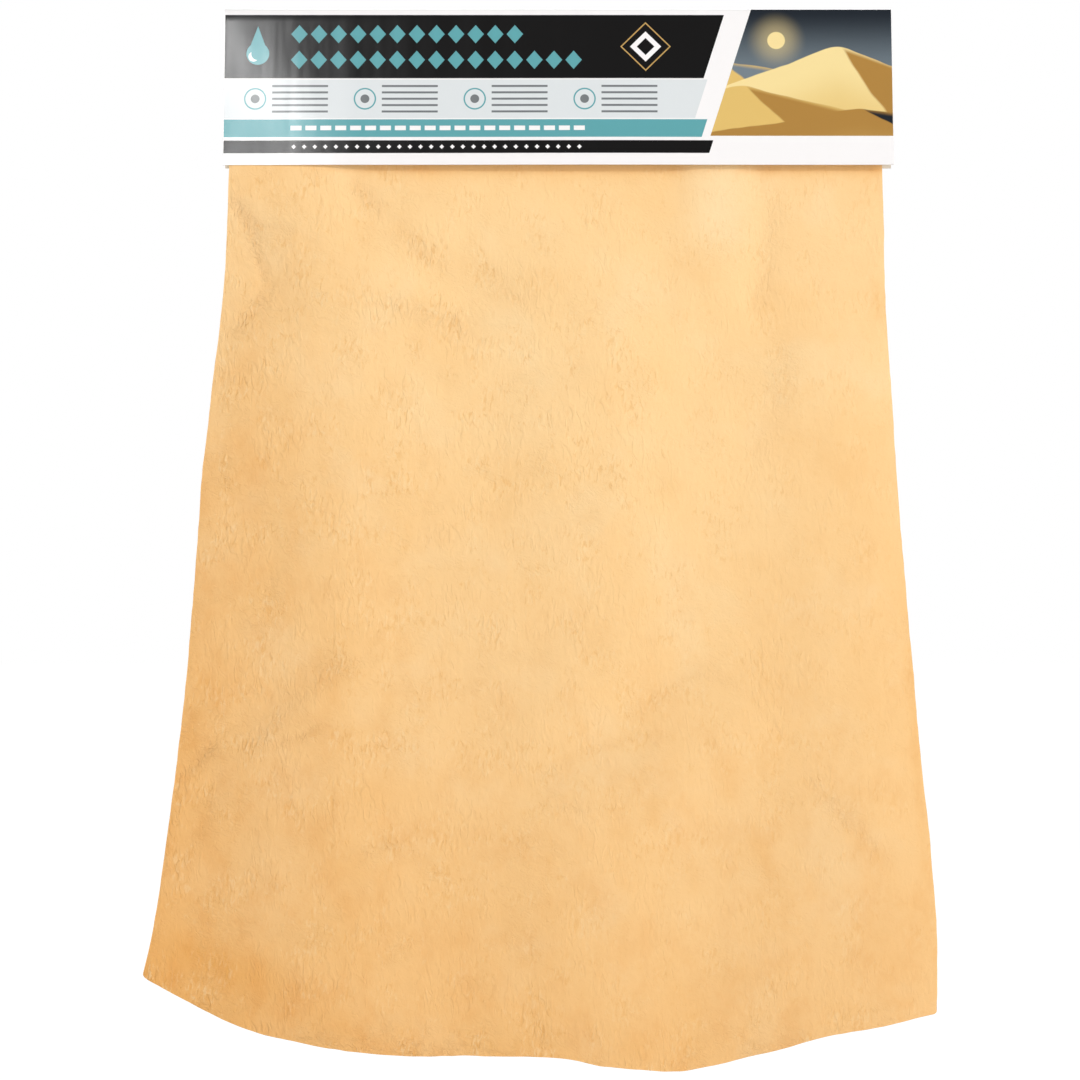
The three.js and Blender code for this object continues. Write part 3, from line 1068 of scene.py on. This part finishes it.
@dataclass
class ChamoisHide:
    """The chamois: one hide from the staples inside the card down to its uneven hem.

    Lengths are in millimetres, as the outline's are, until the mesh is made.
    """

    columns: int = 186
    margin_rows: int = 34
    free_rows: int = 206
    thickness: float = 1.0
    flat_below_staples: float = 6.0
    flat_rows_share: float = 0.33
    drape_height: float = 1.2
    drape_pitch: float = 124.0
    drape_shift: float = 18.0
    edge_curl: float = 2.2
    curl_power: int = 6
    nibble_power: int = 24
    relief_rise: float = 70.0
    wrinkle_rise: float = 30.0
    full_crease: float = 0.7
    flare_left: float = 42.1
    flare_right: float = 26.2
    left_corner: float = 6.0
    right_corner: float = 3.5
    bend_above: float = 4.0
    bend_below: float = 22.0
    smooth_deg: float = 50.0
    seed: int = 7

    def __post_init__(self) -> None:
        """Takes the held margin's place and the bend line from the frame."""
        low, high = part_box("chamois_top_margin")
        staple_low, staple_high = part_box("staple_1")
        bend = joint_place("skin_swing")
        self.margin_top = high.z / MM
        self.margin_y = high.y / MM - self.thickness / 2
        self.flat_end = (staple_low.z + staple_high.z) / 2 / MM - self.flat_below_staples
        self.bend_y, self.bend_z = bend.y / MM, bend.z / MM
        self.length = length = self.bend_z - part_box("chamois_skin")[0].z / MM
        left_end, right_end = low.x / MM, high.x / MM
        self.left = [(left_end - out * self.flare_left, down * length) for out, down in LEFT_EDGE_SHARES]
        self.right = [(right_end + out * self.flare_right, down * length) for out, down in RIGHT_EDGE_SHARES]
        (left_x, _), (right_x, _) = self.left[-1], self.right[-1]
        between = [(left_x + across * (right_x - left_x), down * length) for across, down in HEM_SHARES]
        self.hem = [self.left[-1], *between, self.right[-1]]

    def build(self, held_by: Sequence[bpy.types.Object]) -> bpy.types.Object:
        """Models, maps and dresses the hide.

        Args:
            held_by: The pieces that hold it; not used.

        Returns:
            The hide, which stands for the CAD nodes of the held margin and the free skin.
        """
        u, v = np.meshgrid(np.linspace(0, 1, self.columns + 1), np.linspace(0, 1, self.free_rows + 1))
        x, drop = self.outline_place(u, v)
        free = np.stack([x, self.bend_y - self.lift(x, drop, u), self.bend_z - drop], axis=2)
        places = np.concatenate([self.margin(free[0]), free]) * MM
        hide = self.sheet_mesh(places)
        write_map(hide, HIDE_MAP, places[..., [0, 2]].reshape(-1, 2))
        self.mark(hide, places, u, v)
        apply_modifier(hide, "SOLIDIFY", thickness=self.thickness * MM, offset=0.0)
        shade_smooth(hide, self.smooth_deg)
        hide.data.materials.append(ChamoisFinish().material())
        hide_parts("chamois_top_margin", "chamois_skin")
        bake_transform(hide)
        return hide

    def mark(self, hide: bpy.types.Object, places: Array, u: Array, v: Array) -> None:
        """Writes the attributes that the hide's finish reads.

        Args:
            hide: The hide's middle surface.
            places: The rows of its places, in metres.
            u: The free hide's shares across.
            v: The free hide's shares down.
        """
        x, drop = places[..., 0] / MM, self.bend_z - places[..., 2] / MM
        held_drop = drop[:self.margin_rows]
        across = np.concatenate([np.repeat(u[:1], self.margin_rows, axis=0), u])
        down = np.concatenate([held_drop / self.length, v])
        marks = {
            HIDE_DARK_AND_SHADE: self.wear(across, down) + lifted(STAINS_AND_SHADE, x, drop),
            HIDE_CREASE: np.clip(-lifted(CREASES, x, drop) / self.full_crease, 0, 1),
            HIDE_PALE_AND_HIGHLIGHT: np.clip(lifted(PALE_PATCHES_AND_HIGHLIGHT, x, drop), 0, 1),
            HIDE_GRAIN: self.coarse(across, down),
        }
        for name, values in marks.items():
            layer = hide.data.attributes.new(name, "FLOAT", "POINT")
            layer.data.foreach_set("value", values.astype(np.float32).ravel())

    def outline_place(self, u: Array, v: Array) -> tuple[Array, Array]:
        """Places on the free hide.

        Args:
            u: Shares across, from the left edge.
            v: Shares down, from the bend line to the hem.

        Returns:
            How far right of the card's middle, and how far below the bend line.
        """
        across, down = self.round_corners(u, v)
        left, right, hem = spline(self.left, down), spline(self.right, down), spline(self.hem, across)
        first, last = np.array(self.hem[0]), np.array(self.hem[-1])
        straight_hem = first + across[..., None] * (last - first)
        place = left + across[..., None] * (right - left) + down[..., None] * (hem - straight_hem)
        x, drop = place[..., 0], place[..., 1]
        # Nibbles along the cut, long and short; the whole numbers keep their lines of noise apart.
        nibble = Grain(self.seed)
        at_side = np.abs(2 * u - 1) ** self.nibble_power * eased(drop, 0, self.wrinkle_rise)
        x = x + at_side * (0.25 * nibble.at(drop / 24, 9 * u) + 0.12 * nibble.at(drop / 5, 40 + 9 * u))
        at_hem = v**self.nibble_power
        drop = drop + at_hem * (0.3 * nibble.at(x / 21, 80 + v) + 0.15 * nibble.at(x / 5, 90 + v))
        return x, drop

    def round_corners(self, u: Array, v: Array) -> tuple[Array, Array]:
        """Rounds the hem's two corners by drawing the shares in from them.

        Args:
            u: Shares across, from the left edge.
            v: Shares down, from the bend line to the hem.

        Returns:
            The shares across and down, drawn in.
        """
        width, length = self.hem[-1][0] - self.hem[0][0], self.right[-1][1]
        across, down = u.copy(), v.copy()
        for inward, sign, radius in ((u, 1, self.left_corner), (1 - u, -1, self.right_corner)):
            at_side = np.clip(1 - inward * width / radius, 0, 1)
            at_hem = np.clip(1 - (1 - v) * length / radius, 0, 1)
            across = across + sign * radius * at_side * (1 - np.sqrt(1 - at_hem**2 / 2)) / width
            down = down - radius * at_hem * (1 - np.sqrt(1 - at_side**2 / 2)) / length
        return across, down

    def lift(self, x: Array, drop: Array, u: Array) -> Array:
        """How far the free hide stands towards the viewer: drape, curled sides, folds and wrinkles.

        Args:
            x: How far right of the card's middle.
            drop: How far below the bend line.
            u: Shares across, from the left edge.

        Returns:
            Millimetres in front of the bend line.
        """
        drape = self.drape_height * np.cos(2 * np.pi * (x - self.drape_shift) / self.drape_pitch)
        curl = self.edge_curl * (2 * u - 1) ** self.curl_power
        relief = eased(drop, 0, self.relief_rise) * (drape + lifted(BROAD_FOLDS, x, drop) - curl)
        return relief + lifted([*MOUTH_SWELLS, *CREASES], x, drop) + self.wrinkles(x, drop)

    def wrinkles(self, x: Array, drop: Array) -> Array:
        """The small unevenness of a hide that has been rolled up and hung.

        Args:
            x: How far right of the card's middle.
            drop: How far below the bend line.

        Returns:
            Its height in millimetres, from soft waves to fine crinkles.
        """
        grain = Grain(self.seed + 1)
        soft = 0.5 * grain.at(x / 34, drop / 45) + 0.2 * grain.at(x / 15 + 50, drop / 24)
        fine = 0.08 * grain.at(x / 6.5 + 20, drop / 15) * (0.4 + np.abs(grain.at(x / 60, drop / 60 + 70)))
        return eased(drop, 0, self.wrinkle_rise) * (soft + fine)

    def wear(self, u: Array, v: Array) -> Array:
        """How much darker the hide is painted: towards its left side and hem, a little on the right, and
        painted shade just below the card's lower edge.

        Args:
            u: Shares across, from the left edge.
            v: Shares down, from the bend line to the hem; negative inside the card.

        Returns:
            How dark it is, from 0 to 1.
        """
        left = 0.38 * np.exp(-u / (0.15 + 0.2 * v)) * (0.65 + 0.35 * eased(v, 0, 0.5))
        left = left * (1 - 0.5 * (1 - eased(u, 0, 0.05)) * (1 - eased(v, 0.25, 0.5)))
        lower = 0.28 * eased(v, 0.36, 1.05) + 0.08 * eased(v, 0.84, 1) * (1 - eased(u, 0.7, 0.95))
        right = 0.07 * eased(u, 0.6, 0.95)
        # Painted shade: a warm darker band just below the card's lower edge, where the card's shadow falls.
        mouth = 0.38 * np.exp(-np.abs(v) / 0.011) * eased(u, 0.06, 0.3)
        return np.clip(left + lower + right + mouth, 0, 1)

    def coarse(self, u: Array, v: Array) -> Array:
        """How coarse the nap is: most on the left, in the middle and along the hem, least on the right."""
        middle = 0.32 * np.exp(-(((u - 0.48) / 0.2) ** 2) - ((v - 0.36) / 0.2) ** 2)
        return 1.2 - 0.62 * u + middle + (0.8 - 0.4 * u) * eased(v, 0.9, 1)

    def margin(self, mouth: Array) -> Array:
        """The held stretch: flat on the back panel past the staples, then easing out to the card's mouth.

        Args:
            mouth: The free hide's first row of places.

        Returns:
            The rows of places above it.
        """
        share = np.linspace(0, 1, self.margin_rows + 1)[:-1]
        flat_share = np.minimum(share / self.flat_rows_share, 1)
        flat = self.margin_top + flat_share * (self.flat_end - self.margin_top)
        out = np.clip((share - self.flat_rows_share) / (1 - self.flat_rows_share), 0, 1)
        # Halfway out the rows lie closer in height, because the hide runs forwards there.
        fallen = 1.5 * out * (1 - out) + out**3
        places = np.zeros((self.margin_rows, len(mouth), 3))
        places[..., 0] = mouth[:, 0]
        places[..., 1] = self.margin_y + (mouth[:, 1] - self.margin_y) * smooth_step(out)[:, None]
        places[..., 2] = (flat + (self.bend_z - self.flat_end) * fallen)[:, None]
        return places

    def sheet_mesh(self, places: Array) -> bpy.types.Object:
        """Makes the hide's middle surface.

        Args:
            places: Rows of places, in metres.

        Returns:
            The surface, with a face between every four neighbouring places.
        """
        rows, columns = places.shape[:2]
        index = np.arange(rows * columns).reshape(rows, columns)
        quads = np.stack([index[:-1, :-1], index[1:, :-1], index[1:, 1:], index[:-1, 1:]], axis=2)
        mesh = bpy.data.meshes.new("chamois_hide")
        mesh.from_pydata(places.reshape(-1, 3).tolist(), [], quads.reshape(-1, 4).tolist())
        mesh.update()
        hide = bpy.data.objects.new("chamois_hide", mesh)
        bpy.context.scene.collection.objects.link(hide)
        return hide


@dataclass
class Staples:
    """The wire staples that hold the hide to the back panel."""

    count: int = 4
    bend_radius: float = 0.5 * MM
    bend_steps: int = 5
    sides: int = 10
    proud: float = 0.12 * MM
    leg_turn: float = 4.5 * MM
    smooth_deg: float = 40.0

    def __post_init__(self) -> None:
        """Takes the first staple's place from the frame."""
        self.low, self.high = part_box("staple_1")
        self.wire = self.high.z - self.low.z
        self.middle = (self.low + self.high) / 2

    def build(self) -> list[bpy.types.Object]:
        """Models one staple, copies it to the others' places and dresses them.

        Returns:
            The staples, each standing for its CAD node.
        """
        first = self.bent_wire()
        first.data.materials.append(WireFinish().material())
        staples = [first]
        for number in range(2, self.count + 1):
            low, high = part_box(f"staple_{number}")
            copy = first.copy()
            copy.data = first.data.copy()
            copy.data.transform(Matrix.Translation((low + high) / 2 - self.middle))
            copy.name = copy.data.name = f"wire_staple_{number}"
            bpy.context.scene.collection.objects.link(copy)
            staples.append(copy)
        for number, staple in enumerate(staples, start=1):
            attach(staple, Body.HEADER.value)
            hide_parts(f"staple_{number}")
        return staples

    def bent_wire(self) -> bpy.types.Object:
        """Bends one staple from its left leg's tip, round the crown, to its right leg's tip.

        Returns:
            The first staple.
        """
        half = (self.high.x - self.low.x - self.wire) / 2
        leg_y = self.high.y - self.wire / 2 + self.proud
        crown_y = self.low.y + self.wire / 2
        tip = half + self.wire / 2 - self.leg_turn
        radius = self.bend_radius
        straight = leg_y - crown_y - 2 * radius
        leg = half - radius - tip
        centre = self.middle
        bpy.ops.object.select_all(action="DESELECT")
        bpy.ops.mesh.primitive_circle_add(
            vertices=self.sides, radius=self.wire / 2, fill_type="NOTHING",
            location=(centre.x - tip, leg_y, centre.z), rotation=(0, math.pi / 2, 0),
        )
        staple = bpy.context.object
        staple.name = staple.data.name = "wire_staple_1"
        bpy.ops.object.transform_apply(location=True, rotation=True, scale=True)
        left, right = centre.x - half + radius, centre.x + half - radius
        back, front = leg_y - radius, crown_y + radius
        corners = [(left, back), (left, front), (right, front), (right, back)]
        runs = [(-leg, 0), (0, -straight), (right - left, 0), (0, straight)]
        with editing(staple):
            bpy.ops.mesh.select_all(action="SELECT")
            for (run_x, run_y), (x, y) in zip(runs, corners):
                extrude_edges((run_x, run_y, 0))
                spin_edges(self.bend_steps, math.pi / 2, Vector((x, y, centre.z)), Vector((0, 0, 1)))
            extrude_edges((-leg, 0, 0))
            bpy.ops.mesh.edge_face_add()
            # The first tip is still open.
            select_edges(staple, lambda place: abs(place.x - centre.x + tip) < MERGE_DISTANCE
                         and place.y > leg_y - self.wire)
            bpy.ops.mesh.edge_face_add()
            merge_doubles()
        shade_smooth(staple, self.smooth_deg)
        return staple


@dataclass(frozen=True)
class SoftBox:
    """A soft area lamp: its place, what it points at, its width and height, and its power in watts."""

    name: str
    place: tuple[float, float, float]
    aim: tuple[float, float, float]
    size: tuple[float, float]
    power: float

    def build(self) -> None:
        """Adds the lamp, hidden from the camera itself."""
        bpy.ops.object.light_add(type="AREA", location=self.place)
        lamp = bpy.context.object
        lamp.name = self.name
        lamp.rotation_euler = (Vector(self.aim) - Vector(self.place)).to_track_quat("-Z", "Y").to_euler()
        lamp.data.shape = "RECTANGLE"
        lamp.data.size, lamp.data.size_y = self.size
        lamp.data.energy = self.power
        lamp.visible_camera = False


@dataclass
class Studio:
    """A white room with a pale floor, soft lamps and the camera."""

    white: Colour = (1.0, 1.0, 1.0)
    white_strength: float = 1.0
    ambient: float = 0.28
    floor_z: float = -0.62
    floor_size: float = 14.0
    floor_colour: Colour = (0.9, 0.9, 0.9)
    floor_roughness: float = 0.9
    floor_glow: float = 1.09
    glow_share: float = 0.9
    distance: float = 1.2
    image_width: int = 1080
    pixels_per_mm: float = 2.11
    view_x: float = -8.6 * MM
    view_z: float = -214.75 * MM
    sensor: float = 36.0

    def build(self) -> None:
        """Sets up the room, the lamps and the camera."""
        bpy.context.scene.view_settings.view_transform = "Standard"
        self.room()
        self.floor()
        self.lamps()
        self.camera()

    def room(self) -> None:
        """Makes the world white where it is seen or mirrored, and an even soft light elsewhere."""
        world = bpy.data.worlds.new("white_room")
        bpy.context.scene.world = world
        tree = NodeTree(world)
        light, seen = tree.nodes["Background"], tree.add("ShaderNodeBackground")
        for node, strength in ((light, self.ambient), (seen, self.white_strength)):
            tree.put(self.white, node.inputs["Color"])
            tree.put(strength, node.inputs["Strength"])
        tree.end_in("World Output", light, seen)

    def floor(self) -> None:
        """Lays a pale floor that glows a little where it is seen, and keeps the shadow."""
        bpy.ops.object.select_all(action="DESELECT")
        bpy.ops.mesh.primitive_plane_add(size=self.floor_size, location=(0, 0, self.floor_z))
        floor = bpy.context.object
        floor.name = "studio_floor"
        tree = FinishTree("studio_floor")
        tree.shade(Base_Color=self.floor_colour, Roughness=self.floor_roughness, Specular_IOR_Level=0.0)
        glow = tree.add("ShaderNodeEmission", {"Strength": self.floor_glow})
        tree.end_in("Material Output", tree.shader, glow, self.glow_share)
        floor.data.materials.append(tree.material)

    def lamps(self) -> None:
        """Hangs the soft lamps: one on the right, one in front, a strip on the left and one behind."""
        middle = (0, 0, -0.2)
        for lamp in (
            SoftBox("key", (2.7, -1.5, 0.7), middle, (1.0, 1.0), 44.4),
            SoftBox("fill", (-0.3, -2.2, -0.4), middle, (1.0, 1.0), 14.0),
            SoftBox("strip", (-0.365, -1.5, 0.67), (-0.1, 0, 0), (0.06, 0.2), 6.2),
            SoftBox("back", (0.3, 1.6, 0.9), middle, (1.4, 1.0), 20.0),
        ):
            lamp.build()

    def camera(self) -> None:
        """Places the camera square to the hanging hide."""
        bpy.ops.object.camera_add(location=(self.view_x, -self.distance, self.view_z),
                                  rotation=(math.pi / 2, 0, 0))
        camera = bpy.context.object
        hide_distance = self.distance + joint_place("skin_swing").y
        camera.data.sensor_fit = "HORIZONTAL"
        camera.data.sensor_width = self.sensor
        camera.data.lens = self.pixels_per_mm / MM * hide_distance / self.image_width * self.sensor
        bpy.context.scene.camera = camera


def main() -> None:
    logging.basicConfig(level=logging.INFO, format="%(message)s")
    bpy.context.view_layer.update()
    Studio().build()
    log.info("studio set")
    card = HeaderCard().build()
    log.info("%s made", card.name)
    staples = Staples().build()
    log.info("%d staples bent", len(staples))
    hide = ChamoisHide().build(held_by=[card, *staples])
    log.info("%s hung", hide.name)


if __name__ == "__main__":
    main()
